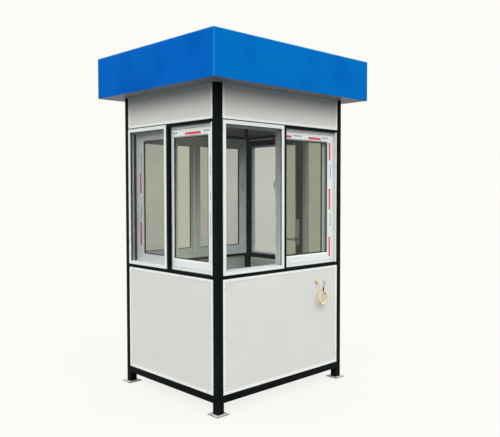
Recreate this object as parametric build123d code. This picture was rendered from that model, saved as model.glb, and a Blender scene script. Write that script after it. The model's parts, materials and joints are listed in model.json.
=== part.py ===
import math
import os

from build123d import *

# Walls and levels, in millimetres: +X to the right along the front wall, -Y is the front
wall_width = 1220
wall_depth = 1060
foot_height = 74
lower_panel_height = 742
window_height = 975
upper_panel_height = 218

# Steel frame
post_size = 50
tube_wall = 2
base_rail_height = 50
sill_rail_height = 25
header_rail_height = 25
mullion_width = 30
mullion_depth = 22
jamb_width = 30
plate_size = 100
plate_thickness = 6
plate_hole_spacing = 72
plate_hole_radius = 6

# Wall panels and their edge trims
panel_thickness = 25
trim_width = 17.5
trim_thickness = 1.5
trim_lap = 5

# Roof panel and fascia
roof_overhang = 140
roof_thickness = 50
fascia_height = 291
fascia_thickness = 3
fascia_lip = 28

# Two-track sliding windows
window_face = 20
window_corner_step = 28
window_web = 3
window_jamb_lip = 12
sash_thickness = 22
sash_face = 55
sash_bevel = 8
sash_running_gap = 3
sash_lift_gap = 3
meeting_lap = 40
track_width = 3
track_height = 6
track_groove_width = 7
track_groove_depth = 4
glass_thickness = 5
glass_edge_cover = 12
latch_width = 22
latch_height = 74
latch_thickness = 5
latch_corner = 4
latch_edge_distance = 3
latch_level_share = 0.594
latch_thumb_width = 10
latch_thumb_height = 28
latch_thumb_depth = 13

# Insect screens over the left half of each window
screen_face = 24
screen_thickness = 4
screen_header_lap = 13
screen_side_lap = 4
mesh_thickness = 1

# Side light and door in the right wall
sidelight_width = 300
sidelight_face = 30
sidelight_recess = 10
door_hinge_gap = 5
door_lock_gap = 8
door_top_gap = 5
door_sill_gap = 8
door_thickness = 38
door_stile = 45
door_top_rail = 50
door_mid_rail = 42
door_bottom_rail = 60
door_bead_width = 14
door_bead_recess = 4
hinge_count = 3
hinge_end_distance = 190
hinge_knuckle_radius = 8
hinge_knuckle_height = 36
hinge_knuckle_gap = 1
hinge_pin_radius = 4
hinge_pin_clearance = 0.1
hinge_axis_offset = 12
hinge_plate_thickness = 4
hinge_plate_reach = 26
hinge_foot_width = 14
lock_plate_width = 36
lock_plate_height = 210
lock_plate_thickness = 6
lock_plate_corner = 8
lock_plate_rise = 99
lever_rise = 47
lever_length = 110
lever_depth = 45
lever_section = 16
lever_thickness = 12
key_radius = 9
key_projection = 3
key_drop = 115

# Floor board, desk top and its cleats
floor_thickness = 18
floor_door_gap = 5
desk_depth = 550
desk_drop = 66
desk_thickness = 25
cleat_height = 30
cleat_width = 20

# Loose cable, with its route chosen by hand, from where its hole meets the wall's outer face
cable_diameter = 8
cable_hole_x = 335
cable_hole_drop = 104
cord_sides = 8
grommet_body_radius = 8
grommet_flange_radius = 13
grommet_flange_thickness = 3
coil_centre = (38, -26, -122)
coil_outer_x = 59
coil_outer_z = 56
coil_band = 21
coil_depth = 22
cable_route = [
    (0, 12, 0),
    (0, -10, 0),
    (0, -29, -9),
    (-1, -37, -29),
    (-4, -35, -54),
    (-7, -30, -78),
    (-6, -26, -101),
]
cable_bend_share = 0.45
tape_base = (46, -26, -71)
tape_radius = 5.5
tape_length = 26
wire_radius = 1.4
wire_routes = [
    [(48, -26, -47), (50, -28, -22), (44, -30, 16)],
    [(48, -26, -47), (54, -27, -26), (73, -28, -2)],
]

overrun = 20
quarter_turn = 90

half_width = wall_width / 2
half_depth = wall_depth / 2
base_rail_top = foot_height + base_rail_height
sill_bottom = base_rail_top + lower_panel_height
sill_top = sill_bottom + sill_rail_height
header_bottom = sill_top + window_height
header_top = header_bottom + header_rail_height
soffit = header_top + upper_panel_height
overall_height = soffit + fascia_height
desk_bottom = sill_bottom - desk_drop
lock_plate_bottom = sill_top + lock_plate_rise
lever_height = lock_plate_bottom + lever_rise
cable_hole = Pos(cable_hole_x, -half_depth, sill_bottom - cable_hole_drop)
clear_width = wall_width - 2 * post_size
clear_depth = wall_depth - 2 * post_size
window_head = header_bottom - window_face
window_sill = sill_top + window_face

# Each wall is drawn in its own frame: u to the right seen from outside, v inwards from the
# outer face, z up. These moves carry that frame to the four sides.
wall_moves = {
    "front": Pos(0, -half_depth, 0),
    "left": Rot(0, 0, -quarter_turn) * Pos(0, -half_width, 0),
    "back": Rot(0, 0, 2 * quarter_turn) * Pos(0, -half_depth, 0),
    "right": Rot(0, 0, quarter_turn) * Pos(0, -half_width, 0),
}
wall_spans = {"front": clear_width, "left": clear_depth, "back": clear_width, "right": clear_depth}
window_walls = ["front", "left", "back"]
open_walls = ["front"]
corners = {
    "front_left": (-1, -1),
    "front_right": (1, -1),
    "back_left": (-1, 1),
    "back_right": (1, 1),
}

# The right wall from the front post to the back post: side light, jamb, door
right_end = clear_depth / 2
sidelight_span = (-right_end, -right_end + sidelight_width)
jamb_span = (sidelight_span[1], sidelight_span[1] + jamb_width)
door_span = (jamb_span[1] + door_lock_gap, right_end - door_hinge_gap)
door_levels = (base_rail_top + door_sill_gap, header_bottom - door_top_gap)
door_mid_top = sill_top
hinge_u = right_end - door_hinge_gap / 2


def block(u_span, v_span, z_span):
    """Box between pairs of low and high coordinates."""
    spans = (u_span, v_span, z_span)
    centre = [(low + high) / 2 for low, high in spans]
    sizes = [high - low for low, high in spans]
    return Pos(*centre) * Box(*sizes)


def middle(length):
    """Pair of coordinates centred on zero."""
    return (-length / 2, length / 2)


def grown(span, amount):
    """Span widened by the same amount at both ends."""
    return (span[0] - amount, span[1] + amount)


def ring(u_span, v_span, z_span, face):
    """Rectangular frame standing in a wall, open through its thickness."""
    opening = block(grown(u_span, -face), grown(v_span, overrun), grown(z_span, -face))
    return block(u_span, v_span, z_span) - opening


def tube(u_span, v_span, z_span, run):
    """Rectangular steel tube whose open ends face along the run axis: 0 for u, 2 for z."""
    spans = [grown(span, -tube_wall) for span in (u_span, v_span, z_span)]
    spans[run] = grown((u_span, v_span, z_span)[run], overrun)
    return block(u_span, v_span, z_span) - block(*spans)


def save(name, shapes):
    """Write one node, each shape as its own solid."""
    solids = [solid for shape in shapes for solid in shape.solids()]
    export_step(Compound(children=solids), f"parts/{name}.step")


def corner_place(sides):
    """Centre of a post, from the signs of its two walls."""
    return Pos(sides[0] * (half_width - post_size / 2), sides[1] * (half_depth - post_size / 2), 0)


def post():
    """Corner post, from its base plate to the roof panel."""
    return tube(middle(post_size), middle(post_size), (plate_thickness, soffit), 2)


def base_plate():
    """Foot plate with four anchor holes."""
    plate = block(middle(plate_size), middle(plate_size), (0, plate_thickness))
    hole = Cylinder(plate_hole_radius, plate_thickness + overrun)
    for place in GridLocations(plate_hole_spacing, plate_hole_spacing, 2, 2):
        plate -= Pos(0, 0, plate_thickness / 2) * place * hole
    return plate


def wall_tube(wall, u_span, z_span):
    """Horizontal tube of the wall's frame, as deep as a post."""
    return wall_moves[wall] * tube(u_span, (0, post_size), z_span, 0)


def panel(wall, u_span, z_span):
    """Sandwich panel, its outer face level with the posts."""
    return wall_moves[wall] * block(u_span, (0, panel_thickness), z_span)


def panel_trims(wall, u_span, z_span, outer_u_span, outer_z_span):
    """Edge strips on the outer and inner face of a panel."""
    outer = ring(outer_u_span, (-trim_thickness, 0), outer_z_span, trim_width)
    inner_face = (panel_thickness, panel_thickness + trim_thickness)
    inner = ring(u_span, inner_face, z_span, trim_width)
    return [wall_moves[wall] * outer, wall_moves[wall] * inner]


# Depths of the window's parts, from the outer face of the wall inwards
window_front = mullion_depth
outer_sash_front = window_front + sash_running_gap
outer_sash_back = outer_sash_front + sash_thickness
web_back = outer_sash_back + window_web
inner_sash_front = web_back + sash_running_gap
inner_sash_back = inner_sash_front + sash_thickness
window_back = inner_sash_back + sash_running_gap


def track_rib(length, v_middle, z_span):
    """Rail of the sliding track."""
    v_span = (v_middle - track_width / 2, v_middle + track_width / 2)
    return block(middle(length), v_span, z_span)


def window_frame(span):
    """Outer frame with two tracks, stepped in at the jambs so that corner windows clear.

    The right jamb has a lip that lines the recess out to the face of the wall.
    """
    inner_span = span - 2 * window_corner_step
    z_span = (sill_top, header_bottom)
    daylight = (window_sill, window_head)
    frame = block(middle(span), (window_front, web_back), z_span)
    frame += block(middle(inner_span), (web_back, window_back), z_span)
    frame += block((span / 2 - window_jamb_lip, span / 2), (0, window_front), z_span)
    outer_track = span - 2 * window_face
    inner_track = inner_span - 2 * window_face
    frame -= block(middle(outer_track), (window_front - overrun, outer_sash_back), daylight)
    frame -= block(middle(inner_track), (outer_sash_back, window_back + overrun), daylight)
    for length, sash_front in ((outer_track, outer_sash_front), (inner_track, inner_sash_front)):
        v_middle = sash_front + sash_thickness / 2
        frame += track_rib(length, v_middle, (window_sill, window_sill + track_height))
        frame += track_rib(length, v_middle, (window_head - track_height, window_head))
    return frame


sash_bottom = window_sill + track_height - track_groove_depth
sash_top = window_head - sash_lift_gap


def sash_spans(wall):
    """Widths taken by the outer sash on the right and the inner sash, closed on the left or slid open."""
    span = wall_spans[wall]
    outer = (-meeting_lap / 2, span / 2 - window_face)
    inner = (-span / 2 + window_corner_step + window_face, meeting_lap / 2)
    if wall in open_walls:
        inner = (-inner[1], -inner[0])
    return {"outer": outer, "inner": inner}


sash_fronts = {"outer": outer_sash_front, "inner": inner_sash_front}


def sash_pane(u_span, front):
    """Glass of one sash, held on all sides in its groove."""
    edge = sash_face - glass_edge_cover
    v_middle = front + sash_thickness / 2
    v_span = (v_middle - glass_thickness / 2, v_middle + glass_thickness / 2)
    return block(grown(u_span, -edge), v_span, grown((sash_bottom, sash_top), -edge))


def sash(u_span, front):
    """Sliding sash with bevelled glazing edge, glass groove and track grooves."""
    v_span = (front, front + sash_thickness)
    leaf = ring(u_span, v_span, (sash_bottom, sash_top), sash_face)
    outer_face = leaf.faces().sort_by(Axis.Y)[0]
    leaf = chamfer(outer_face.inner_wires()[0].edges(), sash_bevel)
    leaf -= sash_pane(u_span, front)
    v_middle = front + sash_thickness / 2
    groove = (v_middle - track_groove_width / 2, v_middle + track_groove_width / 2)
    leaf -= block(grown(u_span, overrun), groove, (sash_bottom - overrun, sash_bottom + track_groove_depth))
    top_depth = track_height + track_groove_depth - sash_lift_gap
    leaf -= block(grown(u_span, overrun), groove, (sash_top - top_depth, sash_top + overrun))
    return leaf


def window_latch(wall):
    """Latch with a thumb piece, on the room side of the inner sash's left stile."""
    left = sash_spans(wall)["inner"][0] + latch_edge_distance
    body = Box(latch_width, latch_thickness, latch_height)
    body = chamfer(body.edges().filter_by(Axis.Y), latch_corner)
    thumb = Box(latch_thumb_width, latch_thumb_depth, latch_thumb_height)
    thumb = Pos(0, (latch_thickness + latch_thumb_depth) / 2, 0) * thumb
    z_middle = sill_top + latch_level_share * window_height
    place = Pos(left + latch_width / 2, inner_sash_back + latch_thickness / 2, z_middle)
    return place * (body + thumb)


def screen_spans(span):
    """Outline of the insect screen, lapping the post, the mullion and the header."""
    u_span = (-span / 2 - screen_side_lap, -mullion_width / 2 + screen_side_lap)
    return u_span, (sill_top, header_bottom + screen_header_lap)


def screen_frame(span):
    """Flat frame of an insect screen, with a slot for its mesh."""
    u_span, z_span = screen_spans(span)
    return ring(u_span, (-screen_thickness, 0), z_span, screen_face) - screen_mesh(span)


def screen_mesh(span):
    """Mesh sheet of an insect screen."""
    u_span, z_span = screen_spans(span)
    edge = screen_face / 2
    v_middle = -screen_thickness / 2
    v_span = (v_middle - mesh_thickness / 2, v_middle + mesh_thickness / 2)
    return block(grown(u_span, -edge), v_span, grown(z_span, -edge))


def sidelight_glass():
    """Fixed pane beside the door."""
    edge = sidelight_face - glass_edge_cover
    v_middle = (sidelight_recess + post_size) / 2
    v_span = (v_middle - glass_thickness / 2, v_middle + glass_thickness / 2)
    return block(grown(sidelight_span, -edge), v_span, grown((sill_top, header_bottom), -edge))


def sidelight_frame():
    """White frame of the fixed pane."""
    v_span = (sidelight_recess, post_size)
    return ring(sidelight_span, v_span, (sill_top, header_bottom), sidelight_face) - sidelight_glass()


door_clear = grown(door_span, -door_stile)
door_light = (door_mid_top, door_levels[1] - door_top_rail)
door_lower = (door_levels[0] + door_bottom_rail, door_mid_top - door_mid_rail)
door_glass_front = (door_thickness - glass_thickness) / 2


def door_frame():
    """Door leaf of welded steel: stiles, top, middle and bottom rail."""
    leaf = block(door_span, (0, door_thickness), door_levels)
    for levels in (door_light, door_lower):
        leaf -= block(door_clear, (-overrun, door_thickness + overrun), levels)
    return leaf


def door_glass():
    """Upper pane of the door."""
    v_span = (door_glass_front, door_glass_front + glass_thickness)
    return block(door_clear, v_span, door_light)


def door_beads():
    """Glazing beads on both sides of the door's pane."""
    outer = ring(door_clear, (door_bead_recess, door_glass_front), door_light, door_bead_width)
    inner_span = (door_glass_front + glass_thickness, door_thickness - door_bead_recess)
    return [outer, ring(door_clear, inner_span, door_light, door_bead_width)]


def door_trims():
    """Edge strips of the door's lower panel, lapping its frame on both faces."""
    u_span = grown(door_clear, trim_lap)
    z_span = grown(door_lower, trim_lap)
    inner_face = (door_thickness, door_thickness + trim_thickness)
    return [ring(u_span, face, z_span, trim_width) for face in ((-trim_thickness, 0), inner_face)]


def lock_set(outward):
    """Lock plate with lever and key cylinder on one face of the door's lock stile."""
    u_middle = door_span[0] + door_stile / 2
    face = 0 if outward < 0 else door_thickness
    z_middle = lock_plate_bottom + lock_plate_height / 2
    plate = Box(lock_plate_width, lock_plate_thickness, lock_plate_height)
    plate = chamfer(plate.edges().filter_by(Axis.Y), lock_plate_corner)
    lock = Pos(u_middle, face + outward * lock_plate_thickness / 2, z_middle) * plate
    neck_u = grown((u_middle, u_middle), lever_section / 2)
    lever_z = grown((lever_height, lever_height), lever_section / 2)
    grip = face + outward * lever_depth
    grip_back = grip - outward * lever_thickness
    lock += block(neck_u, sorted((face, grip)), lever_z)
    lock += block((neck_u[0], u_middle + lever_length), sorted((grip, grip_back)), lever_z)
    key_z = lever_height + key_drop
    key_v = face + outward * (lock_plate_thickness + key_projection) / 2
    key = Rot(quarter_turn, 0, 0) * Cylinder(key_radius, lock_plate_thickness + key_projection)
    return lock + Pos(u_middle, key_v, key_z) * key


def hinge_heights():
    """Lower end of each hinge, spread evenly up the door."""
    low = door_levels[0] + hinge_end_distance - hinge_knuckle_height
    high = door_levels[1] - hinge_end_distance - hinge_knuckle_height
    return [low + (high - low) * place / (hinge_count - 1) for place in range(hinge_count)]


def hinge_half(z_low, side):
    """Knuckle and its bent plate: side is -1 for the door's half, 1 for the post's half."""
    z_span = (z_low, z_low + hinge_knuckle_height)
    barrel = Pos(hinge_u, -hinge_axis_offset, sum(z_span) / 2)
    half = barrel * Cylinder(hinge_knuckle_radius, hinge_knuckle_height)
    reach = sorted((hinge_u, hinge_u + side * hinge_plate_reach))
    foot = sorted((hinge_u + side * hinge_plate_reach, hinge_u + side * (hinge_plate_reach - hinge_foot_width)))
    plate_v = (-hinge_axis_offset - hinge_plate_thickness / 2, -hinge_axis_offset + hinge_plate_thickness / 2)
    half += block(reach, plate_v, z_span)
    half += block(foot, (plate_v[0], 0), z_span)
    return half


def post_hinge(z_low):
    """Lower half of a hinge, welded to the post, with its upright pin."""
    pin_top = 2 * hinge_knuckle_height + hinge_knuckle_gap
    pin = Pos(hinge_u, -hinge_axis_offset, z_low + pin_top / 2) * Cylinder(hinge_pin_radius, pin_top)
    return hinge_half(z_low, 1) + pin


def door_hinge(z_low):
    """Upper half of a hinge, welded to the door and bored for the pin."""
    lift = z_low + hinge_knuckle_height + hinge_knuckle_gap
    bore_height = hinge_knuckle_height + overrun
    bore = Cylinder(hinge_pin_radius + hinge_pin_clearance, bore_height)
    return hinge_half(lift, -1) - Pos(hinge_u, -hinge_axis_offset, lift + hinge_knuckle_height / 2) * bore


def fitted_board(x_span, y_span, z_span):
    """Flat board inside the cabin, notched round the posts."""
    board = block(x_span, y_span, z_span)
    for sides in corners.values():
        board -= corner_place(sides) * block(middle(post_size), middle(post_size), grown(z_span, overrun))
    return board


inner_face = panel_thickness + trim_thickness
room_y = half_depth - inner_face
room_left = -half_width + inner_face


def floor_panel():
    """Floor board on the base rails, stopping short of the door."""
    right = half_width - door_thickness - trim_thickness - floor_door_gap
    z_span = (base_rail_top, base_rail_top + floor_thickness)
    board = fitted_board((room_left, right), (-room_y, room_y), z_span)
    return board - wall_moves["right"] * block(jamb_span, (0, post_size), grown(z_span, overrun))


def desk_top():
    """Worktop along the left wall."""
    z_span = (desk_bottom, desk_bottom + desk_thickness)
    return fitted_board((room_left, room_left + desk_depth), (-room_y, room_y), z_span)


def desk_cleats():
    """Bearers under the desk: one on the left panel, one on the front and one on the back."""
    v_span = (panel_thickness, panel_thickness + cleat_width)
    z_span = (desk_bottom - cleat_height, desk_bottom)
    left = wall_moves["left"] * block(middle(clear_depth - 2 * trim_width), v_span, z_span)
    side_low = -clear_width / 2 + trim_width + cleat_width
    side_span = (side_low, room_left + desk_depth)
    front = wall_moves["front"] * block(side_span, v_span, z_span)
    back = wall_moves["back"] * block((-side_span[1], -side_span[0]), v_span, z_span)
    return [left, front, back]


roof_half_x = half_width + roof_overhang
roof_half_y = half_depth + roof_overhang


def roof_panel():
    """Flat sandwich roof, its underside the soffit and ceiling."""
    x_span = middle(2 * (roof_half_x - fascia_thickness))
    y_span = middle(2 * (roof_half_y - fascia_thickness))
    return block(x_span, y_span, (soffit, soffit + roof_thickness))


def fascia(half_length, distance, lip_cut, end_cut):
    """Fascia sheet with its folded top lip, drawn on the front side."""
    sheet_half = half_length - end_cut
    lip_half = half_length - lip_cut
    sheet = block(middle(2 * sheet_half), (-distance, -distance + fascia_thickness), (soffit, overall_height))
    lip_z = (overall_height - fascia_thickness, overall_height)
    return sheet + block(middle(2 * lip_half), (-distance, -distance + fascia_lip), lip_z)


def cable_bore(radius):
    """Round bore through the front lower panel for the cable."""
    bore = Rot(quarter_turn, 0, 0) * Cylinder(radius, 2 * panel_thickness + overrun)
    return cable_hole * Pos(0, panel_thickness / 2, 0) * bore


def cable_grommet():
    """Grommet through the panel, with a flange on the outer face."""
    turn = Rot(quarter_turn, 0, 0)
    body = turn * Cylinder(grommet_body_radius, panel_thickness)
    flange = turn * Cylinder(grommet_flange_radius, grommet_flange_thickness)
    shape = cable_hole * Pos(0, panel_thickness / 2, 0) * body
    shape += cable_hole * Pos(0, -grommet_flange_thickness / 2, 0) * flange
    return shape - cable_bore(cable_diameter / 2)


def bend_radii(points):
    """Radius of each corner of a route, as large as its two runs allow."""
    radii = []
    for before, here, after in zip(points, points[1:], points[2:]):
        arriving = Vector(here) - Vector(before)
        leaving = Vector(after) - Vector(here)
        half_turn = math.radians(arriving.get_angle(leaving)) / 2
        radii.append(cable_bend_share * min(arriving.length, leaving.length) / math.tan(half_turn))
    return radii


def cord_run(points, radius):
    """Cord or wire with a many-sided section, along straight runs and tangent arcs."""
    path = FilletPolyline(*points, radius=bend_radii(points))
    start = Plane(path @ 0, z_dir=path % 0)
    return cable_hole * sweep(start * RegularPolygon(radius, cord_sides), path=path)


def cable_coil():
    """Outer shape of the hanging coil."""
    outline = Ellipse(coil_outer_x, coil_outer_z) - Ellipse(coil_outer_x - coil_band, coil_outer_z - coil_band)
    plane = Plane(coil_centre, x_dir=(1, 0, 0), z_dir=(0, -1, 0))
    return cable_hole * extrude(plane * outline, amount=coil_depth / 2, both=True)


def cable_end():
    """Taped end of the cable with two bare wires."""
    rise = (Vector(wire_routes[0][0]) - Vector(tape_base)).normalized() * tape_length
    section = Plane(tape_base, z_dir=rise) * RegularPolygon(tape_radius, cord_sides)
    shape = cable_hole * extrude(section, amount=tape_length)
    for route in wire_routes:
        shape += cord_run(route, wire_radius)
    return shape


def build_frame():
    """Steel frame, its feet and the hinge halves on the post."""
    for name, sides in corners.items():
        save(f"post_{name}", [corner_place(sides) * post()])
    save("base_plates", [corner_place(sides) * base_plate() for sides in corners.values()])
    base_levels = (foot_height, base_rail_top)
    header_levels = (header_bottom, header_top)
    walls = wall_spans.items()
    save("base_rails", [wall_tube(wall, middle(span), base_levels) for wall, span in walls])
    save("header_rails", [wall_tube(wall, middle(span), header_levels) for wall, span in walls])
    sill_levels = (sill_bottom, sill_top)
    sills = [wall_tube(wall, middle(wall_spans[wall]), sill_levels) for wall in window_walls]
    save("sill_rails", sills + [wall_tube("right", sidelight_span, sill_levels)])
    bar = tube(middle(mullion_width), (0, mullion_depth), (sill_top, header_bottom), 2)
    save("mullions", [wall_moves[wall] * bar for wall in window_walls])
    jamb = tube(jamb_span, (0, post_size), (base_rail_top, header_bottom), 2)
    save("door_jamb", [wall_moves["right"] * jamb])
    save("post_hinges", [wall_moves["right"] * post_hinge(z_low) for z_low in hinge_heights()])


def build_panels():
    """Lower and upper wall panels with their trims."""
    lower = (base_rail_top, sill_bottom)
    upper = (header_top, soffit)
    lower_trims = []
    upper_trims = []
    for wall, span in wall_spans.items():
        u_span = sidelight_span if wall == "right" else middle(span)
        sheet = panel(wall, u_span, lower)
        if wall == "front":
            sheet -= cable_bore(grommet_body_radius)
        save(f"lower_panel_{wall}", [sheet])
        lower_trims += panel_trims(wall, u_span, lower, grown(u_span, trim_lap), lower)
        save(f"upper_panel_{wall}", [panel(wall, middle(span), upper)])
        lapped = (header_top - trim_lap, soffit)
        upper_trims += panel_trims(wall, middle(span), upper, grown(middle(span), trim_lap), lapped)
    save("lower_panel_trims", lower_trims)
    save("upper_panel_trims", upper_trims)


def build_windows():
    """Sliding windows, their latches and insect screens, and the side light."""
    panes = []
    for wall in window_walls:
        span = wall_spans[wall]
        save(f"window_frame_{wall}", [wall_moves[wall] * window_frame(span)])
        for track, u_span in sash_spans(wall).items():
            save(f"{track}_sash_{wall}", [wall_moves[wall] * sash(u_span, sash_fronts[track])])
            panes.append(wall_moves[wall] * sash_pane(u_span, sash_fronts[track]))
    save("window_glass", panes)
    save("window_latches", [wall_moves[wall] * window_latch(wall) for wall in window_walls])
    save("screen_frames", [wall_moves[wall] * screen_frame(wall_spans[wall]) for wall in window_walls])
    save("screen_mesh", [wall_moves[wall] * screen_mesh(wall_spans[wall]) for wall in window_walls])
    save("sidelight_frame", [wall_moves["right"] * sidelight_frame()])
    save("sidelight_glass", [wall_moves["right"] * sidelight_glass()])


def build_door():
    """Hinged door with its pane, panel, lock and hinge halves."""
    move = wall_moves["right"]
    save("door_frame", [move * door_frame()])
    save("door_glass", [move * door_glass()])
    save("door_beads", [move * bead for bead in door_beads()])
    save("door_panel", [move * block(door_clear, (0, door_thickness), door_lower)])
    save("door_panel_trims", [move * trim for trim in door_trims()])
    save("door_lock", [move * lock_set(outward) for outward in (-1, 1)])
    save("door_hinges", [move * door_hinge(z_low) for z_low in hinge_heights()])


def build_inside_and_roof():
    """Floor, desk, roof panel and fascia."""
    save("floor_panel", [floor_panel()])
    save("desk_top", [desk_top()])
    save("desk_cleats", desk_cleats())
    save("roof_panel", [roof_panel()])
    turns = {"front": 0, "left": -1, "back": 2, "right": 1}
    for wall, turn in turns.items():
        if wall in ("front", "back"):
            sheet = fascia(roof_half_x, roof_half_y, fascia_thickness, 0)
        else:
            sheet = fascia(roof_half_y, roof_half_x, fascia_lip, fascia_thickness)
        save(f"fascia_{wall}", [Rot(0, 0, turn * quarter_turn) * sheet])


def build_cable():
    """Loose cable out of the front panel, with its grommet, coil and end."""
    save("cable_grommet", [cable_grommet()])
    save("cable_lead", [cord_run(cable_route, cable_diameter / 2)])
    save("cable_coil", [cable_coil()])
    save("cable_end", [cable_end()])
    print("cable bend radii", [round(radius, 1) for radius in bend_radii(cable_route)])


os.makedirs("parts", exist_ok=True)
build_frame()
build_panels()
build_windows()
build_door()
build_inside_and_roof()
build_cable()
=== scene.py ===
"""Looks of the guard booth: finishes, small fittings, the loose cable, light and camera."""
import json
import math

import bmesh
import bpy
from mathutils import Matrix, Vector


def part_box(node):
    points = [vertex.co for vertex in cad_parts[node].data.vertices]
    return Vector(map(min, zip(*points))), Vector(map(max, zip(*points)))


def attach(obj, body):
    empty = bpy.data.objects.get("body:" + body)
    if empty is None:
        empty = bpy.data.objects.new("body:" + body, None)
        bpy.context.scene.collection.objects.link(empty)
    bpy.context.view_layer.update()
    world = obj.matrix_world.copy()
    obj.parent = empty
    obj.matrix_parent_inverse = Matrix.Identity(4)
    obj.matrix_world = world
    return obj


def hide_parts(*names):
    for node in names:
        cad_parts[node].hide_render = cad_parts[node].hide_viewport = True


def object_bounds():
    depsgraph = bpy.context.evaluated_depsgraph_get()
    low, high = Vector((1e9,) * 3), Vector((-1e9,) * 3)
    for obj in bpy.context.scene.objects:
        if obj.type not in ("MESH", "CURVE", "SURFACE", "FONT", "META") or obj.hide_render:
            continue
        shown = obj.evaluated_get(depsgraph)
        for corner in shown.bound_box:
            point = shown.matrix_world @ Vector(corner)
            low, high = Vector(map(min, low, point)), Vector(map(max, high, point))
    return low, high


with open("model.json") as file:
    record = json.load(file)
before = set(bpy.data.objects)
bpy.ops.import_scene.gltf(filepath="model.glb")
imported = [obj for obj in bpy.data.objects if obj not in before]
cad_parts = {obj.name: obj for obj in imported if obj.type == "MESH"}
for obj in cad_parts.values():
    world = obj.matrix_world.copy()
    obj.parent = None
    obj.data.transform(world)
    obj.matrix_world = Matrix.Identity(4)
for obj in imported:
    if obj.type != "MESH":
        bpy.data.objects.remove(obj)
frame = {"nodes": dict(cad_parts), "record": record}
cad_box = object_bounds()
nodes = frame["nodes"]
BODY = "booth"


# Spans


def middle(span):
    """Middle of a span."""
    return (span[0] + span[1]) / 2


def inset(span, amount):
    """Span narrowed at both ends, or widened by an amount below zero."""
    return (span[0] + amount, span[1] - amount)


def share_span(span, shares):
    """Part of a span given by two shares of its length."""
    length = span[1] - span[0]
    return (span[0] + length * shares[0], span[0] + length * shares[1])


def rectangle(across, up):
    """Corners of a rectangle over two spans, in order round it."""
    return ((across[0], up[0]), (across[1], up[0]), (across[1], up[1]), (across[0], up[1]))


# Walls: degrees of turn from the front one; u runs to the right seen from outside, v inwards
WALL_TURNS = {"front": 0, "left": -90, "back": 180, "right": 90}
WINDOW_WALLS = ("front", "left", "back")
CORNERS = ("front_left", "front_right", "back_left", "back_right")
OUTER_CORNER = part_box("post_front_left")[0]


def wall_reach(wall):
    """Distance from the booth's middle to a wall's outer face."""
    return -OUTER_CORNER[1] if wall in ("front", "back") else -OUTER_CORNER[0]


def turned(x, y, degrees):
    """Level point turned about the booth's middle."""
    angle = math.radians(degrees)
    return x * math.cos(angle) - y * math.sin(angle), x * math.sin(angle) + y * math.cos(angle)


def wall_point(wall, u, v, z):
    """Point of a wall's own frame in the booth's frame."""
    x, y = turned(u, v - wall_reach(wall), WALL_TURNS[wall])
    return Vector((x, y, z))


def wall_box(wall, node):
    """Extent of a node in a wall's own frame: spans of u, v and z."""
    low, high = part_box(node)
    corners = [turned(x, y, -WALL_TURNS[wall]) for x, y in rectangle((low[0], high[0]), (low[1], high[1]))]
    us = [x for x, _ in corners]
    vs = [y + wall_reach(wall) for _, y in corners]
    return (min(us), max(us)), (min(vs), max(vs)), (low[2], high[2])


# Meshes


def new_piece(name, mesh_data, body, material):
    """Piece from a bmesh, riding on a body, with its finish."""
    mesh = bpy.data.meshes.new(name)
    mesh_data.to_mesh(mesh)
    mesh_data.free()
    mesh.materials.append(material)
    piece = bpy.data.objects.new(name, mesh)
    bpy.context.scene.collection.objects.link(piece)
    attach(piece, body)
    return piece


def add_stack(bm, loops, material_index=0):
    """Closed solid through loops of points, which run anticlockwise seen from the last loop's side."""
    rings = [[bm.verts.new(point) for point in loop] for loop in loops]
    faces = [rings[0][::-1], rings[-1]]
    for low, high in zip(rings, rings[1:]):
        for here in range(len(low)):
            after = (here + 1) % len(low)
            faces.append((low[here], low[after], high[after], high[here]))
    for corners in faces:
        bm.faces.new(corners).material_index = material_index


def add_wall_prism(bm, wall, outline, v_span, material_index=0):
    """Closed prism of an outline in a wall's own frame."""
    outer, inner = [[wall_point(wall, u, v, z) for u, z in outline] for v in v_span]
    add_stack(bm, (inner, outer), material_index)


def add_wall_box(bm, wall, u_span, v_span, z_span, material_index=0):
    """Closed box given in a wall's own frame."""
    add_wall_prism(bm, wall, rectangle(u_span, z_span), v_span, material_index)


def add_wall_ring(bm, wall, u_span, v_span, z_span, face):
    """Closed rectangular frame given in a wall's own frame."""
    loops = []
    for v in v_span:
        for amount in (0, face):
            outline = rectangle(inset(u_span, amount), inset(z_span, amount))
            loops.append([bm.verts.new(wall_point(wall, u, v, z)) for u, z in outline])
    outer_front, inner_front, outer_back, inner_back = loops
    for here in range(len(outer_front)):
        after = (here + 1) % len(outer_front)
        bm.faces.new((outer_front[here], outer_front[after], inner_front[after], inner_front[here]))
        bm.faces.new((outer_back[after], outer_back[here], inner_back[here], inner_back[after]))
        bm.faces.new((outer_front[after], outer_front[here], outer_back[here], outer_back[after]))
        bm.faces.new((inner_front[here], inner_front[after], inner_back[after], inner_back[here]))


# Profile of a low round head: shares of its radius and of its height
DOME_SHARES = ((1.0, 0.0), (0.92, 0.45), (0.6, 0.85))


def add_dome(bm, place, normal, radius, height, sides):
    """Low round head on a surface."""
    normal = Vector(normal).normalized()
    across = normal.orthogonal().normalized()
    up = normal.cross(across)
    loops = []
    for share_out, share_up in DOME_SHARES:
        loop = []
        for step in range(sides):
            angle = 2 * math.pi * step / sides
            offset = across * math.cos(angle) + up * math.sin(angle)
            loop.append(place + offset * radius * share_out + normal * height * share_up)
        loops.append(loop)
    add_stack(bm, loops)


# Shader nodes


def opaque(colour):
    """Colour with its alpha channel."""
    return (*colour, 1)


def tinted(colour, share):
    """Colour made lighter or darker by a share."""
    return tuple(min(1.0, channel * share) for channel in colour)


def shader(name):
    """New node material, its tree and its main shader."""
    material = bpy.data.materials.new(name)
    material.use_nodes = True
    tree = material.node_tree
    return material, tree, tree.nodes["Principled BSDF"]


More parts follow.
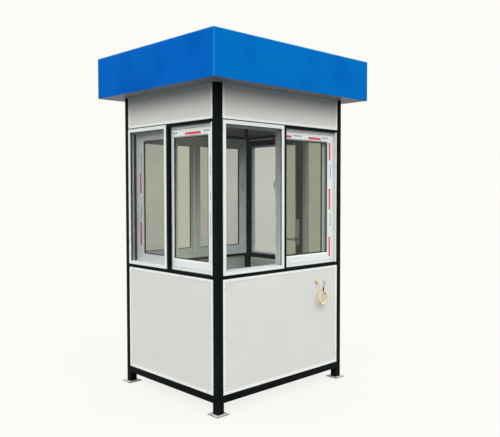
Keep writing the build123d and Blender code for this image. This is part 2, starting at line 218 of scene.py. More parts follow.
def feed(tree, socket, value):
    """Socket linked to a node's output, or set to a number or colour."""
    if isinstance(value, bpy.types.NodeSocket):
        tree.links.new(value, socket)
    else:
        socket.default_value = value


def split_xyz(tree, vector):
    """X, Y and Z of a vector."""
    node = tree.nodes.new("ShaderNodeSeparateXYZ")
    tree.links.new(vector, node.inputs["Vector"])
    return node.outputs["X"], node.outputs["Y"], node.outputs["Z"]


def math_step(tree, operation, *values):
    """Result of one operation on node outputs or numbers."""
    node = tree.nodes.new("ShaderNodeMath")
    node.operation = operation
    for socket, value in zip(node.inputs, values):
        feed(tree, socket, value)
    return node.outputs["Value"]


def above(tree, value, level):
    """One where a value is over a level."""
    return math_step(tree, "GREATER_THAN", value, level)


def unsigned(tree, value):
    """Value without its sign."""
    return math_step(tree, "ABSOLUTE", value)


def object_noise(tree, scale, detail, roughness=0.5, stretch=(1, 1, 1)):
    """Noise fixed to the object's own coordinates, with its scale for each metre."""
    coordinates = tree.nodes.new("ShaderNodeTexCoord")
    mapping = tree.nodes.new("ShaderNodeMapping")
    mapping.inputs["Scale"].default_value = stretch
    noise = tree.nodes.new("ShaderNodeTexNoise")
    noise.inputs["Scale"].default_value = scale
    noise.inputs["Detail"].default_value = detail
    noise.inputs["Roughness"].default_value = roughness
    tree.links.new(coordinates.outputs["Object"], mapping.inputs["Vector"])
    tree.links.new(mapping.outputs["Vector"], noise.inputs["Vector"])
    return noise.outputs["Fac"]


def ramp(tree, factor, stops):
    """Colour ramp over a factor."""
    node = tree.nodes.new("ShaderNodeValToRGB")
    elements = node.color_ramp.elements
    while len(elements) < len(stops):
        elements.new(stops[-1][0])
    for element, (place, colour) in zip(elements, stops):
        element.position = place
        element.color = opaque(colour)
    tree.links.new(factor, node.inputs["Fac"])
    return node.outputs["Color"]


def blend(tree, factor, first, second, blend_type="MIX"):
    """Colour mixed from two colours by a factor."""
    node = tree.nodes.new("ShaderNodeMix")
    node.data_type = "RGBA"
    node.blend_type = blend_type
    for name, value in (("Factor", factor), ("A", first), ("B", second)):
        feed(tree, node.inputs[name], value)
    return node.outputs["Result"]


def switched(tree, factor, first, second):
    """First shader where the factor is zero, the second where it is one."""
    mix = tree.nodes.new("ShaderNodeMixShader")
    feed(tree, mix.inputs["Fac"], factor)
    tree.links.new(first, mix.inputs[1])
    tree.links.new(second, mix.inputs[2])
    return mix.outputs["Shader"]


# Where a colour ramp starts and ends, as shares of the noise's range
SOFT_STOP_SHARES = (0.3, 0.7)
STEEL_STOP_SHARES = (0.25, 0.75)


def mottled(tree, noise, colour, tone_shares, stop_shares=SOFT_STOP_SHARES):
    """Colour that a noise moves between a darker and a lighter tone."""
    tones = [tinted(colour, share) for share in tone_shares]
    return ramp(tree, noise, list(zip(stop_shares, tones)))


def add_sheen(tree, principled, noise, roughness_range):
    """Uneven roughness on the main shader."""
    node = tree.nodes.new("ShaderNodeMapRange")
    node.inputs["To Min"].default_value = roughness_range[0]
    node.inputs["To Max"].default_value = roughness_range[1]
    tree.links.new(noise, node.inputs["Value"])
    tree.links.new(node.outputs["Result"], principled.inputs["Roughness"])


def add_relief(tree, principled, noise, strength, depth):
    """Fine relief on the main shader, with its depth in metres."""
    bump = tree.nodes.new("ShaderNodeBump")
    bump.inputs["Strength"].default_value = strength
    bump.inputs["Distance"].default_value = depth
    tree.links.new(noise, bump.inputs["Height"])
    tree.links.new(bump.outputs["Normal"], principled.inputs["Normal"])


# Sheet paint: colour, share that it varies by, range of roughness and specular level
SHEET_PAINTS = {
    "frame_black": ((0.0055, 0.0075, 0.0075), 0.25, (0.35, 0.55), 0.02),
    "panel_white": ((0.71, 0.72, 0.67), 0.018, (0.42, 0.56), 0.2),
    "trim_white": ((0.85, 0.875, 0.835), 0.012, (0.35, 0.5), 0.3),
    "window_white": ((0.79, 0.83, 0.81), 0.015, (0.22, 0.36), 0.35),
    # Grey for the roof panel: painted shade, darker than the white panels, on its soffit and top
    "roof_grey": ((0.36, 0.38, 0.41), 0.02, (0.42, 0.56), 0.2),
}
PAINT_BLOTCH = {"scale": 2.3, "detail": 4.0}
PAINT_SHEEN = {"scale": 14, "detail": 5.0}
PAINT_GRAIN = {"scale": 400, "detail": 2.0}
PAINT_RELIEF = {"strength": 0.05, "depth": 0.0006}


def make_sheet_paint(name, colour, variation, roughness_range, gloss):
    """Factory paint on sheet or tube: faint blotches, uneven gloss and a fine grain."""
    material, tree, principled = shader(name)
    principled.inputs["Specular IOR Level"].default_value = gloss
    tones = mottled(tree, object_noise(tree, **PAINT_BLOTCH), colour, (1 - variation, 1 + variation))
    tree.links.new(tones, principled.inputs["Base Color"])
    add_sheen(tree, principled, object_noise(tree, **PAINT_SHEEN), roughness_range)
    add_relief(tree, principled, object_noise(tree, **PAINT_GRAIN), **PAINT_RELIEF)
    return material


# Fascia: colours of its front and back faces and of its side faces (darker, painted shade), the lighter
# colour of its scratches and of the painted highlight along its corner and top folds, then its noises
FASCIA_LIT_FRONT = (0.0003, 0.150, 0.50)
# Darker blue of the side faces: painted shade
FASCIA_SHADED_SIDE = (0.0003, 0.126, 0.525)
# Lighter blue: painted highlight on the corner and top folds, also the colour of the scratches
FASCIA_HIGHLIGHT_AND_SCRATCH = (0.014, 0.225, 0.63)
FASCIA_GLOSS = 0.006
FASCIA_ROUGHNESS = (0.42, 0.56)
FOLD_HIGHLIGHT_WIDTH = 0.006
FASCIA_BLOTCH = {"scale": 2.6, "detail": 3.0}
FASCIA_BLOTCH_STOPS = ((0.36, (0.84, 0.80, 0.90)), (0.55, (1, 1, 1)))
FASCIA_SCRATCH = {"scale": 55, "detail": 2.0, "stretch": (1, 1, 0.35)}
SCRATCH_LEVEL = 0.75
FASCIA_WAVE = {"scale": 9, "detail": 2.0}
FASCIA_RELIEF = {"strength": 0.08, "depth": 0.002}


def make_fascia():
    """Blue sheet paint with soft blotches and painted shade on its side faces, lighter on scratches, with a
    painted highlight on the corner and top folds.
    """
    material, tree, principled = shader("fascia_blue")
    principled.inputs["Specular IOR Level"].default_value = FASCIA_GLOSS
    geometry = tree.nodes.new("ShaderNodeNewGeometry")
    x, y, z = split_xyz(tree, geometry.outputs["Position"])
    _, facing, _ = split_xyz(tree, geometry.outputs["Normal"])
    # The side faces get a darker blue than the front and back: painted shade
    paint = blend(tree, unsigned(tree, facing), opaque(FASCIA_SHADED_SIDE), opaque(FASCIA_LIT_FRONT))
    blotch = ramp(tree, object_noise(tree, **FASCIA_BLOTCH), FASCIA_BLOTCH_STOPS)
    shaded = blend(tree, 1.0, paint, blotch, "MULTIPLY")
    roof_x, roof_y, roof_z = cad_box[1]
    end_x = above(tree, unsigned(tree, x), roof_x - FOLD_HIGHLIGHT_WIDTH)
    end_y = above(tree, unsigned(tree, y), roof_y - FOLD_HIGHLIGHT_WIDTH)
    top = above(tree, z, roof_z - FOLD_HIGHLIGHT_WIDTH)
    # Lighter blue along the corner and top folds is a painted highlight; the scratches with it are real
    # wear
    fold_highlight = math_step(tree, "MAXIMUM", math_step(tree, "MULTIPLY", end_x, end_y), top)
    scratch = above(tree, object_noise(tree, **FASCIA_SCRATCH), SCRATCH_LEVEL)
    highlight_and_scratch = math_step(tree, "MAXIMUM", fold_highlight, scratch)
    tree.links.new(blend(tree, highlight_and_scratch, shaded, opaque(FASCIA_HIGHLIGHT_AND_SCRATCH)), principled.inputs["Base Color"])
    add_sheen(tree, principled, object_noise(tree, **PAINT_SHEEN), FASCIA_ROUGHNESS)
    add_relief(tree, principled, object_noise(tree, **FASCIA_WAVE), **FASCIA_RELIEF)
    return material


# Glass: its tint, the tint of its reflections, its index and the light it lets into the room
GLASS_TINT = (0.66, 0.675, 0.61)
GLASS_REFLECTION = (0.2, 0.2, 0.2)
GLASS_INDEX = 1.46
GLASS_LIGHT = (0.82, 0.86, 0.86)


def make_glass():
    """Tinted window glass that lets light through to the room."""
    material, tree, principled = shader("clear_glass")
    principled.inputs["Base Color"].default_value = opaque(GLASS_TINT)
    principled.inputs["Specular Tint"].default_value = opaque(GLASS_REFLECTION)
    principled.inputs["Roughness"].default_value = 0.0
    principled.inputs["IOR"].default_value = GLASS_INDEX
    principled.inputs["Transmission Weight"].default_value = 1.0
    clear = tree.nodes.new("ShaderNodeBsdfTransparent")
    clear.inputs["Color"].default_value = opaque(GLASS_LIGHT)
    rays = tree.nodes.new("ShaderNodeLightPath")
    lighting = math_step(tree, "MAXIMUM", rays.outputs["Is Shadow Ray"], rays.outputs["Is Diffuse Ray"])
    surface = switched(tree, lighting, principled.outputs["BSDF"], clear.outputs["BSDF"])
    tree.links.new(surface, tree.nodes["Material Output"].inputs["Surface"])
    return material


# Insect mesh: threads are where the sine of the turn across the weave is small
MESH_COLOUR = (0.03, 0.035, 0.03)
MESH_ROUGHNESS = 0.7
MESH_PITCH = 0.0016
THREAD_SINE = 0.1


def make_mesh_screen():
    """Woven insect mesh: fine dark threads with open squares between them."""
    material, tree, principled = shader("screen_grey")
    principled.inputs["Base Color"].default_value = opaque(MESH_COLOUR)
    principled.inputs["Roughness"].default_value = MESH_ROUGHNESS
    coordinates = tree.nodes.new("ShaderNodeTexCoord")
    x, y, z = split_xyz(tree, coordinates.outputs["Object"])
    threads = []
    for along in (math_step(tree, "ADD", x, y), z):
        turn = math_step(tree, "MULTIPLY", along, math.pi / MESH_PITCH)
        wave = unsigned(tree, math_step(tree, "SINE", turn))
        threads.append(math_step(tree, "LESS_THAN", wave, THREAD_SINE))
    tree.links.new(math_step(tree, "MAXIMUM", *threads), principled.inputs["Alpha"])
    return material


# Boards: lighter and darker tone of the grain, and its stretch
BOARDS = {
    "floor_board": ((0.36, 0.30, 0.23), (0.27, 0.22, 0.16), (1, 0.08, 1)),
    "desk_board": ((0.70, 0.57, 0.32), (0.60, 0.47, 0.25), (1, 0.06, 1)),
}
BOARD_GRAIN = {"scale": 18, "detail": 6.0, "roughness": 0.65}
BOARD_ROUGHNESS = (0.35, 0.55)
BOARD_RELIEF = {"strength": 0.1, "depth": 0.0004}


def make_board(name, light, dark, stretch):
    """Board with a soft grain along one axis."""
    material, tree, principled = shader(name)
    grain = object_noise(tree, stretch=stretch, **BOARD_GRAIN)
    tones = ramp(tree, grain, list(zip(SOFT_STOP_SHARES, (dark, light))))
    tree.links.new(tones, principled.inputs["Base Color"])
    add_sheen(tree, principled, grain, BOARD_ROUGHNESS)
    add_relief(tree, principled, grain, **BOARD_RELIEF)
    return material


# Steel: colour, range of roughness, metallic share and stretch of the streaks
STEELS = {
    "lock_steel": ((0.6, 0.6, 0.6), (0.22, 0.4), 0.85, (1, 1, 0.1)),
    "rivet_steel": ((0.20, 0.21, 0.20), (0.4, 0.6), 0.3, (1, 1, 1)),
}
STEEL_STREAK = {"scale": 60, "detail": 5.0, "roughness": 0.6}
STEEL_TONE_SHARES = (0.82, 1.1)
STEEL_RELIEF = {"strength": 0.08, "depth": 0.0003}


def steel_tones(tree, principled, colour, roughness_range, metallic, stretch):
    """Streaky colour of steel, with the sheen and relief that go with it on the main shader."""
    principled.inputs["Metallic"].default_value = metallic
    streak = object_noise(tree, stretch=stretch, **STEEL_STREAK)
    add_sheen(tree, principled, streak, roughness_range)
    add_relief(tree, principled, streak, **STEEL_RELIEF)
    return mottled(tree, streak, colour, STEEL_TONE_SHARES, STEEL_STOP_SHARES)


def make_steel(name, colour, roughness_range, metallic, stretch):
    """Bare steel with fine streaks."""
    material, tree, principled = shader(name)
    tones = steel_tones(tree, principled, colour, roughness_range, metallic, stretch)
    tree.links.new(tones, principled.inputs["Base Color"])
    return material


# Foot plates: zinc as STEELS lists it, the darker colour of the upright sides, and how far a level face
# points up or down
PLATE_ZINC = ((0.60, 0.605, 0.585), (0.4, 0.6), 0.15, (1, 1, 1))
PLATE_UPRIGHT_SIDE = (0.14, 0.14, 0.135)
LEVEL_FACING = 0.8


def make_plate():
    """Zinc-coated foot plate with faint spangle on its level faces, darker on its upright sides."""
    material, tree, principled = shader("plate_zinc")
    zinc = steel_tones(tree, principled, *PLATE_ZINC)
    geometry = tree.nodes.new("ShaderNodeNewGeometry")
    _, _, facing = split_xyz(tree, geometry.outputs["Normal"])
    level = above(tree, unsigned(tree, facing), LEVEL_FACING)
    # Upright sides get a dark grey, level faces the zinc colour
    tree.links.new(blend(tree, level, opaque(PLATE_UPRIGHT_SIDE), zinc), principled.inputs["Base Color"])
    return material


# Rubber, sheath, tape, foam and film: colour and range of roughness
PLAINS = {
    "grommet_rubber": ((0.03, 0.03, 0.03), (0.6, 0.8)),
    "cable_yellow": ((0.80, 0.68, 0.36), (0.4, 0.55)),
    "tape_black": ((0.025, 0.022, 0.02), (0.4, 0.6)),
    "seal_ochre": ((0.70, 0.50, 0.16), (0.5, 0.7)),
    "film_red": ((0.66, 0.05, 0.08), (0.3, 0.45)),
    "film_grey": ((0.15, 0.17, 0.23), (0.3, 0.45)),
}
PLAIN_MOTTLE = {"scale": 90, "detail": 4.0}
PLAIN_TONE_SHARES = (0.88, 1.1)
PLAIN_RELIEF = {"strength": 0.1, "depth": 0.0003}


def make_plain(name, colour, roughness_range):
    """Rubber or plastic with slight mottling."""
    material, tree, principled = shader(name)
    mottle = object_noise(tree, **PLAIN_MOTTLE)
    tree.links.new(mottled(tree, mottle, colour, PLAIN_TONE_SHARES), principled.inputs["Base Color"])
    add_sheen(tree, principled, mottle, roughness_range)
    add_relief(tree, principled, mottle, **PLAIN_RELIEF)
    return material


# Finishes of the CAD pieces and their softened edges

FINISH_TABLES = ((make_sheet_paint, SHEET_PAINTS), (make_steel, STEELS), (make_board, BOARDS),
                 (make_plain, PLAINS))
EDGE_WIDTHS = {"frame_black": 0.0025, "window_white": 0.0015, "fascia_blue": 0.0012, "plate_zinc": 0.001,
               "desk_board": 0.0015, "panel_white": 0.001, "trim_white": 0.0005}
EDGE_SEGMENTS = 2
EDGE_ANGLE = 50

finishes = {
    "fascia_blue": make_fascia(),
    "clear_glass": make_glass(),
    "screen_grey": make_mesh_screen(),
    "plate_zinc": make_plate(),
}
for make_finish, table in FINISH_TABLES:
    for name, values in table.items():
        finishes[name] = make_finish(name, *values)


def soften(node, width):
    """Small bevel on a node's sharp edges."""
    bevel = node.modifiers.new("soft_edges", "BEVEL")
    bevel.width = width
    bevel.segments = EDGE_SEGMENTS
    bevel.limit_method = "ANGLE"
    bevel.angle_limit = math.radians(EDGE_ANGLE)
    bevel.harden_normals = False


for entry in frame["record"]["subparts"]:
    node = nodes[entry["node"]]
    slot = entry["material_slot"]
    node.data.materials.clear()
    node.data.materials.append(finishes[slot])
    if slot in EDGE_WIDTHS:
        soften(node, EDGE_WIDTHS[slot])
# The roof panel takes the darker grey instead of its white slot: painted shade on its soffit and top
nodes["roof_panel"].data.materials[0] = finishes["roof_grey"]


# Window gaskets: width of the sash's profile, width and depth of the gasket, half of the glass

SASH_FACE = 0.055
GASKET_FACE = 0.005
GASKET_DEPTH = 0.003
GLASS_HALF = 0.0025


def make_gaskets():
    """Dark seals on both faces of every sash's glass."""
    for wall in WINDOW_WALLS:
        bm = bmesh.new()
        for track in ("outer", "inner"):
            u_span, v_span, z_span = wall_box(wall, f"{track}_sash_{wall}")
            u_glass = inset(u_span, SASH_FACE)
            z_glass = inset(z_span, SASH_FACE)
            for side in (-1, 1):
                glass_face = middle(v_span) + side * GLASS_HALF
                v_gasket = sorted((glass_face, glass_face + side * GASKET_DEPTH))
                add_wall_ring(bm, wall, u_glass, v_gasket, z_glass, GASKET_FACE)
        new_piece(f"glass_gaskets_{wall}", bm, BODY, finishes["grommet_rubber"])


# Plain bars and dashes on the sashes' protective film

FILM_LIFT = 0.0003
BAR_WIDTH = 0.017
DASH_LENGTH = 0.013
DASH_WIDTH = 0.010
DASH_PITCH = 0.019
# Shares of a mark's width that it stands off the middle of its strip
BAR_SHIFT_SHARE = -0.3
DASH_SHIFT_SHARE = 0.4
# Places of the film's two colours among its piece's materials
RED_INDEX = 0
GREY_INDEX = 1
# Along each strip of film: shares of its length, red bars and rows of grey dashes
FILM_STRIPS = {
    "front": {
        "rail": (((0.0, 0.12), (0.52, 0.82)), ((0.16, 0.39), (0.86, 1.03))),
        "stile": (((-0.04, 0.14), (0.39, 0.58), (0.84, 1.0)), ((0.24, 0.37), (0.69, 0.81))),
        "inner_left": (((0.06, 0.26), (0.5, 0.7), (0.9, 1.0)), ((0.3, 0.44), (0.74, 0.86)))},
    "left": {
        "rail": (((0.36, 0.81),), ((-0.02, 0.15), (0.9, 1.06))),
        "stile": ((), ((0.21, 0.41), (0.49, 0.57), (0.69, 0.87))),
        "inner_left": (((0.07, 0.28), (0.54, 0.72)), ((0.32, 0.44), (0.73, 0.9)))},
}
FILM_STRIPS["back"] = FILM_STRIPS["left"]


def add_marks(bm, wall, along, across, face, upright, bars, dashes):
    """Bars and dashes along one strip of film on a sash face."""
    def mark(run, width, shift_share, index):
        offset = middle(across) + width * shift_share
        side = (offset - width / 2, offset + width / 2)
        u_span, z_span = (side, run) if upright else (run, side)
        add_wall_box(bm, wall, u_span, (face - FILM_LIFT, face), z_span, index)
    for shares in bars:
        mark(share_span(along, shares), BAR_WIDTH, BAR_SHIFT_SHARE, RED_INDEX)
    for shares in dashes:
        start, end = share_span(along, shares)
        for step in range(int((end - start) / DASH_PITCH)):
            low = start + step * DASH_PITCH
            mark((low, low + DASH_LENGTH), DASH_WIDTH, DASH_SHIFT_SHARE, GREY_INDEX)


def make_film_marks():
    """Plain bars and dashes on two sides of each outer sash and one side of each inner one."""
    for wall in WINDOW_WALLS:
        bm = bmesh.new()
        strips = FILM_STRIPS[wall]
        u_span, v_span, z_span = wall_box(wall, f"outer_sash_{wall}")
        stile = (u_span[1] - SASH_FACE, u_span[1])
        top = (z_span[1] - SASH_FACE, z_span[1])
        add_marks(bm, wall, inset(z_span, SASH_FACE), stile, v_span[0], True, *strips["stile"])
        add_marks(bm, wall, inset(u_span, SASH_FACE), top, v_span[0], False, *strips["rail"])
        u_span, v_span, z_span = wall_box(wall, f"inner_sash_{wall}")
        stile = (u_span[0], u_span[0] + SASH_FACE)
        add_marks(bm, wall, inset(z_span, SASH_FACE), stile, v_span[0], True, *strips["inner_left"])
        piece = new_piece(f"film_marks_{wall}", bm, BODY, finishes["film_red"])
        piece.data.materials.append(finishes["film_grey"])


# Dark jamb strips: width of the window frame's profile, depths behind the wall's face, height off the jamb

WINDOW_FACE = 0.020
JAMB_STRIP_DEPTHS = (0.027, 0.045)
JAMB_STRIP_HEIGHT = 0.004


def make_jamb_strips():
    """Dark strip up the left jamb of each window's outer track."""
    for wall in WINDOW_WALLS:
        bm = bmesh.new()
        u_span, _, z_span = wall_box(wall, f"window_frame_{wall}")
        left = u_span[0] + WINDOW_FACE
        # A dark strip along the jamb inside the outer track
        add_wall_box(bm, wall, (left, left + JAMB_STRIP_HEIGHT), JAMB_STRIP_DEPTHS, inset(z_span, WINDOW_FACE))
        new_piece(f"jamb_strips_{wall}", bm, BODY, finishes["grommet_rubber"])


# Crescent levers on the latch plates: they reach over the sash's edge, and their sweep is in degrees

LATCH_PLATE = 0.005
LEVER_RADIUS = 0.040
LEVER_FACE = 0.009
LEVER_DEPTH = 0.010
LEVER_OVERHANG = 0.008
LEVER_SWEEP = (118, 242)
LEVER_STEPS = 10


def lever_arc(u_centre, z_centre, radius):
    """Points along one edge of a crescent lever."""
    arc = []
    for step in range(LEVER_STEPS + 1):
        angle = math.radians(LEVER_SWEEP[0] + (LEVER_SWEEP[1] - LEVER_SWEEP[0]) * step / LEVER_STEPS)
        arc.append((u_centre + radius * math.cos(angle), z_centre + radius * math.sin(angle)))
    return arc


def make_latch_levers():
    """Crescent levers on the latch plates of the inner sashes."""
    low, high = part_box("window_latches")
    z_centre = middle((low[2], high[2]))
    for wall in WINDOW_WALLS:
        bm = bmesh.new()
        u_span, v_span, _ = wall_box(wall, f"inner_sash_{wall}")
        u_centre = u_span[0] - LEVER_OVERHANG + LEVER_RADIUS
        outer = lever_arc(u_centre, z_centre, LEVER_RADIUS)
        inner = lever_arc(u_centre, z_centre, LEVER_RADIUS - LEVER_FACE)
        plate = v_span[1] + LATCH_PLATE
        add_wall_prism(bm, wall, outer + inner[::-1], (plate, plate + LEVER_DEPTH))
        new_piece(f"latch_lever_{wall}", bm, BODY, finishes["window_white"])


make_gaskets()
make_film_marks()
make_jamb_strips()
make_latch_levers()


# Rivets along the lower panels' trims: size, spacing, and distances from the trim's corners and edges

RIVET_RADIUS = 0.0032
RIVET_HEIGHT = 0.0014
RIVET_SIDES = 12
RIVET_SPACING = 0.33
RIVET_CORNER = 0.058
RIVET_EDGE = 0.009
# How far a trim stands out of the wall's face, and past the sides of its panel
TRIM_LIFT = 0.0015
TRIM_LAP = 0.005


def rivet_line(span):
    """Evenly spaced places along one side of a panel, clear of its corners."""
    low, high = inset(span, RIVET_CORNER)
    steps = max(1, round((high - low) / RIVET_SPACING))
    return [low + (high - low) * step / steps for step in range(steps + 1)]


def rivet_places(u_span, z_span):
    """Rivets round the trim of a panel."""
    level = [(u, z) for u in rivet_line(u_span) for z in inset(z_span, RIVET_EDGE)]
    upright = [(u, z) for z in rivet_line(z_span) for u in inset(u_span, RIVET_EDGE)]
    return level + upright


def make_rivets():
    """Blind rivets that hold the trims of each wall's lower panel."""
    for wall in WALL_TURNS:
        bm = bmesh.new()
        normal = wall_point(wall, 0, -1, 0) - wall_point(wall, 0, 0, 0)
        u_span, _, z_span = wall_box(wall, f"lower_panel_{wall}")
        for u, z in rivet_places(inset(u_span, -TRIM_LAP), z_span):
            place = wall_point(wall, u, -TRIM_LIFT, z)
            add_dome(bm, place, normal, RIVET_RADIUS, RIVET_HEIGHT, RIVET_SIDES)
        new_piece(f"trim_rivets_{wall}", bm, BODY, finishes["rivet_steel"])


# Weld beads at the feet: size, and shares of it outwards and upwards along the bead's section

WELD_SIZE = 0.003
WELD_SHARES = ((1.0, 0.0), (0.7, 0.6), (0.0, 1.0))


def make_foot_welds():
    """Weld beads between the posts and their base plates."""
    bm = bmesh.new()
    for corner in CORNERS:
        low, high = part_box(f"post_{corner}")
        loops = []
        for share_out, share_up in WELD_SHARES:
            reach = WELD_SIZE * share_out
            z = low[2] + WELD_SIZE * share_up
            outline = rectangle(inset((low[0], high[0]), -reach), inset((low[1], high[1]), -reach))
            loops.append([(x, y, z) for x, y in outline])
        add_stack(bm, loops)
    new_piece("foot_welds", bm, BODY, finishes["frame_black"])


make_rivets()
make_foot_welds()


# Loose cable: its route and coil are in millimetres

MM = 0.001
CABLE_DIAMETER = 0.008
CABLE_ROUTE = [
    (335, -518, 762),
    (335, -540, 762),
    (335, -559, 753),
    (334, -567, 733),
    (331, -565, 708),
    (328, -560, 684),
    (329, -556, 661),
]
COIL_CENTRE = (373, 640)
# Degrees from one control point of the coil to the next
COIL_STEP = 27
# Along the coil: angle in degrees, distances from its centre across and up, and the depth
COIL_STATIONS = [
    (154.5, 48.8, 48.8, -556),
    (240, 48, 46, -552),
    (330, 51, 48, -549),
    (441, 43, 42, -548),
    (520, 41, 44, -561),
    (610, 44, 50, -562),
    (700, 49, 46, -561),
    (760, 50, 47, -558),
    (801, 51.6, 51.6, -556),
]


def between(stations, angle):
    """Coil sizes at an angle, in proportion between the two nearest stations."""
    for low, high in zip(stations, stations[1:]):
        if angle <= high[0]:
            share = (angle - low[0]) / (high[0] - low[0])
            return [first + (second - first) * share for first, second in zip(low[1:], high[1:])]
    return list(stations[-1][1:])


def cable_points():
    """Control points of the cable: its route, then its turns."""
    points = [Vector(point) * MM for point in CABLE_ROUTE]
    first = COIL_STATIONS[0][0]
    last = COIL_STATIONS[-1][0]
    steps = round((last - first) / COIL_STEP)
    for step in range(1, steps + 1):
        angle = first + (last - first) * step / steps
        across, up, depth = between(COIL_STATIONS, angle)
        turn = math.radians(angle)
        points.append(Vector((COIL_CENTRE[0] + across * math.cos(turn), depth,
                              COIL_CENTRE[1] + up * math.sin(turn))) * MM)
    return points


def make_cable():
    """Yellow cable from the grommet to its taped end."""
    curve = bpy.data.curves.new("cable", "CURVE")
    curve.dimensions = "3D"
    curve.bevel_depth = CABLE_DIAMETER / 2
    curve.bevel_resolution = 4
    curve.use_fill_caps = True
    curve.resolution_u = 12
    points = cable_points()
    spline = curve.splines.new("NURBS")
    spline.points.add(len(points) - 1)
    for target, point in zip(spline.points, points):
        target.co = (*point, 1)
    spline.order_u = 3
    spline.use_endpoint_u = True
    curve.materials.append(finishes["cable_yellow"])
    cable = bpy.data.objects.new("cable", curve)
    bpy.context.scene.collection.objects.link(cable)
    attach(cable, BODY)
    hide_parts("cable_lead", "cable_coil")


# Sealing foam at the cable's exit

FOAM_RADIUS = 0.0135
FOAM_DEPTH = 0.011
FOAM_SIDES = 16


def make_cable_seal():
    """Blob of sealing foam where the cable leaves the panel."""
    bm = bmesh.new()
    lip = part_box("cable_grommet")[0][1]
    exit_place = Vector(CABLE_ROUTE[0]) * MM
    add_dome(bm, Vector((exit_place.x, lip, exit_place.z)), (0, -1, 0), FOAM_RADIUS, FOAM_DEPTH, FOAM_SIDES)
    new_piece("cable_seal", bm, BODY, finishes["seal_ochre"])


make_cable()
make_cable_seal()


# Floor and sky

PALE = (0.982, 0.965, 0.93)
FLOOR_BOUNCE = (0.045, 0.05, 0.058)
FLOOR_SHADE_SHARE = 0.13
FLOOR_REACH = 60
SKY_STRENGTH = 3.1
# Height over the horizon and share of the strength: low down, where the sky is brightest, and overhead
SKY_SHARES = ((0.0, 0.06), (0.68, 1.0), (1.0, 0.05))


def level_light(strength, shares):
    """Light on a level surface under a sky whose strength runs straight between its stops."""
    total = 0
    for (low, first), (high, second) in zip(shares, shares[1:]):
        total += (high - low) * (first * (2 * low + high) + second * (low + 2 * high)) / 3
    return strength * total


def seen_rays(tree):
    """One for rays that show the surround: straight, in gloss or through glass."""
    rays = tree.nodes.new("ShaderNodeLightPath")
    glassy = math_step(tree, "MAXIMUM", rays.outputs["Is Glossy Ray"], rays.outputs["Is Transmission Ray"])
    return math_step(tree, "MAXIMUM", rays.outputs["Is Camera Ray"], glassy)


def glow(tree, colour):
    """Flat emission of one colour."""
    emission = tree.nodes.new("ShaderNodeEmission")
    emission.inputs["Color"].default_value = opaque(colour)
    return emission.outputs["Emission"]


def make_floor():
    """Plain pale floor with a faint shade under the booth."""
    bm = bmesh.new()
    bmesh.ops.create_grid(bm, x_segments=1, y_segments=1, size=FLOOR_REACH)
    mesh = bpy.data.meshes.new("floor")
    bm.to_mesh(mesh)
    bm.free()
    material, tree, principled = shader("floor_pale")
    principled.inputs["Base Color"].default_value = opaque(FLOOR_BOUNCE)
    principled.inputs["Specular IOR Level"].default_value = 0.0
    shaded = tree.nodes.new("ShaderNodeBsdfDiffuse")
    light = level_light(SKY_STRENGTH, SKY_SHARES)
    shaded.inputs["Color"].default_value = opaque([channel / light for channel in PALE])
    seen = switched(tree, FLOOR_SHADE_SHARE, glow(tree, PALE), shaded.outputs["BSDF"])
    surface = switched(tree, seen_rays(tree), principled.outputs["BSDF"], seen)
    tree.links.new(surface, tree.nodes["Material Output"].inputs["Surface"])
    mesh.materials.append(material)
    floor = bpy.data.objects.new("floor", mesh)
    bpy.context.scene.collection.objects.link(floor)


def background(tree, colour, strength):
    """World background of a colour or of a node's output."""
    node = tree.nodes.new("ShaderNodeBackground")
    feed(tree, node.inputs["Color"], colour)
    node.inputs["Strength"].default_value = strength
    return node.outputs["Background"]


def make_world():
    """Pale surround to be seen, and a sky brightest part way up as the light."""
    world = bpy.data.worlds.new("studio")
    bpy.context.scene.world = world
    world.use_nodes = True
    tree = world.node_tree
    coordinates = tree.nodes.new("ShaderNodeTexCoord")
    _, _, height = split_xyz(tree, coordinates.outputs["Generated"])
    sky = ramp(tree, height, [(place, (share, share, share)) for place, share in SKY_SHARES])
    lighting = background(tree, sky, SKY_STRENGTH)
    surface = switched(tree, seen_rays(tree), lighting, background(tree, opaque(PALE), 1.0))
    tree.links.new(surface, tree.nodes["World Output"].inputs["Surface"])


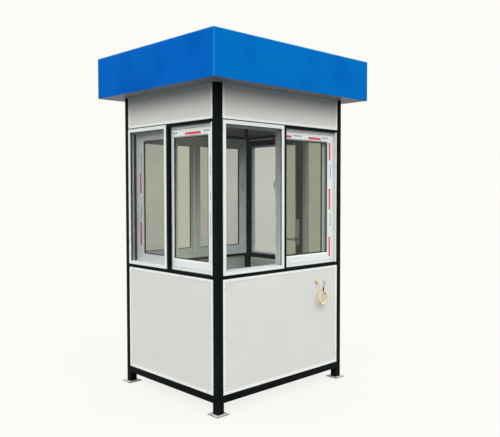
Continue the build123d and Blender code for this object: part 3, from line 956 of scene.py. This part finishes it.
# Lamps: place, the point that each faces, diameter in metres and power in watts
LAMPS = {
    "key": ((-0.2, -3.8, 6.5), (0, -0.5, 1.2), 3.0, 95),
    "fill": ((-4.0, -0.6, 5.6), (0, 0, 1.0), 3.0, 44),
}


def make_lamp(name, place, target, size, power):
    """Large soft lamp pointed at a target."""
    light = bpy.data.lights.new(name, "AREA")
    light.shape = "DISK"
    light.size = size
    light.energy = power
    lamp = bpy.data.objects.new(name, light)
    lamp.location = place
    lamp.rotation_euler = (Vector(target) - Vector(place)).to_track_quat("-Z", "Y").to_euler()
    bpy.context.scene.collection.objects.link(lamp)


# Camera of the photograph, in metres, degrees and pixels: the picture is a crop off the lens axis
CAMERA_PLACE = (-3.124, -3.546, 1.440)
CAMERA_YAW = 44.823
CAMERA_PITCH = -2.216
FOCAL_PIXELS = 625.3
AXIS_PIXELS = (272.1, 213.5)
IMAGE_SIZE = (500, 437)
# Width of the sensor in millimetres
SENSOR_WIDTH = 36.0


def make_camera():
    """Camera at the photograph's place and angle."""
    camera_data = bpy.data.cameras.new("camera")
    camera_data.sensor_fit = "HORIZONTAL"
    camera_data.sensor_width = SENSOR_WIDTH
    camera_data.lens = FOCAL_PIXELS * SENSOR_WIDTH / IMAGE_SIZE[0]
    camera_data.shift_x = (IMAGE_SIZE[0] / 2 - AXIS_PIXELS[0]) / IMAGE_SIZE[0]
    camera_data.shift_y = (AXIS_PIXELS[1] - IMAGE_SIZE[1] / 2) / IMAGE_SIZE[0]
    camera = bpy.data.objects.new("camera", camera_data)
    yaw = math.radians(CAMERA_YAW)
    pitch = math.radians(CAMERA_PITCH)
    forward = Vector((math.sin(yaw) * math.cos(pitch), math.cos(yaw) * math.cos(pitch), math.sin(pitch)))
    camera.location = CAMERA_PLACE
    camera.rotation_euler = forward.to_track_quat("-Z", "Y").to_euler()
    bpy.context.scene.collection.objects.link(camera)
    bpy.context.scene.camera = camera


make_floor()
make_world()
for name, values in LAMPS.items():
    make_lamp(name, *values)
make_camera()
bpy.context.scene.view_settings.view_transform = "Standard"
